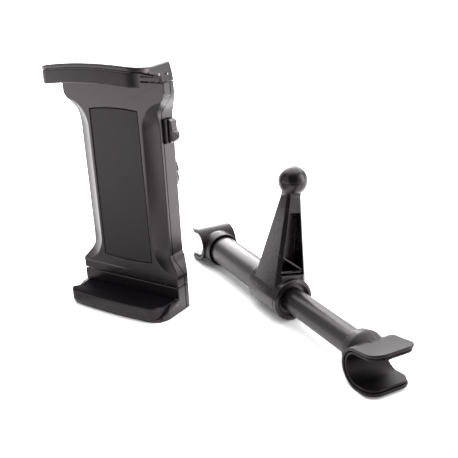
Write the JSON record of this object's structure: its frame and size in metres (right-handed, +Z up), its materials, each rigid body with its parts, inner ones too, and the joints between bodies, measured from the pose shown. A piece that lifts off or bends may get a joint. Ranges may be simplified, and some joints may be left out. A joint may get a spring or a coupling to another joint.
{
  "type": "headrest tablet mount",
  "caption": "Car headrest tablet mount: a spring-button cradle with sliding upper jaw and ball socket, and a telescopic bar with hooked post clips and a ball stalk.",
  "frame": {"origin": "middle of the cradle's foot on the surface, below the front face of its body", "axes": "+Z up; the cradle faces -Y; +X is the cradle's right as seen from the front"},
  "size_m": [0.2205, 0.128, 0.1486],
  "materials": {
    "shell": "satin",
    "pad_plastic": "matte",
    "grip_rubber": "matte",
    "liner_rubber": "matte",
    "socket_plastic": "satin",
    "dark_plastic": "matte",
    "tube_paint": "satin",
    "steel": "satin",
    "black_steel": "satin"
  },
  "bodies": {
    "base": {"front_shell": "shell", "back_shell": "shell", "front_pad": "pad_plastic", "lower_jaw": "shell", "lower_jaw_cover": "shell", "lower_jaw_pad": "grip_rubber", "lower_jaw_pins": "steel", "button_spring_left": "steel", "button_spring_right": "steel", "shell_screws": "black_steel", "ball_socket": "socket_plastic", "socket_screws": "black_steel", "outer_tube": "tube_paint", "tube_bush": "dark_plastic", "stalk_collar": "socket_plastic", "far_clip_shell": "shell", "far_clip_liner": "liner_rubber"},
    "upper_jaw": {"upper_jaw": "shell", "upper_jaw_pad": "grip_rubber", "upper_jaw_pins": "steel"},
    "button_left_body": {"button_left": "shell"},
    "button_right_body": {"button_right": "shell"},
    "ring_nut": {"ring_nut": "shell"},
    "tube_slider": {"lock_plug": "dark_plastic"},
    "tube_end": {"inner_tube": "tube_paint", "near_clip_shell": "shell", "near_clip_liner": "liner_rubber"}
  },
  "joints": [
    {"name": "upper_jaw_slide", "type": "slide", "parent": "base", "child": "upper_jaw", "axis": [0, 0, 1], "range_m": [0, 0.07]},
    {"name": "button_left_press", "type": "slide", "parent": "base", "child": "button_left_body", "axis": [1, 0, 0], "range_m": [0, 0.0022], "stiffness_N_per_m": 900, "springref_m": -0.002, "deforming": ["button_spring_left"]},
    {"name": "button_right_press", "type": "slide", "parent": "base", "child": "button_right_body", "axis": [-1, 0, 0], "range_m": [0, 0.0022], "stiffness_N_per_m": 900, "springref_m": -0.002, "deforming": ["button_spring_right"]},
    {"name": "ring_nut_turn", "type": "hinge", "parent": "base", "child": "ring_nut", "pos_m": [0, 0.028, 0.076], "axis": [0, 1, 0], "range_deg": [0, 360]},
    {"name": "tube_extend", "type": "slide", "parent": "base", "child": "tube_slider", "axis": [0.8508, -0.5255, 0], "range_m": [-0.04, 0.014]},
    {"name": "tube_twist", "type": "hinge", "parent": "tube_slider", "child": "tube_end", "pos_m": [0.0884, 0.0313, 0.01269], "axis": [0.8508, -0.5255, 0], "range_deg": [-90, 90]}
  ]
}
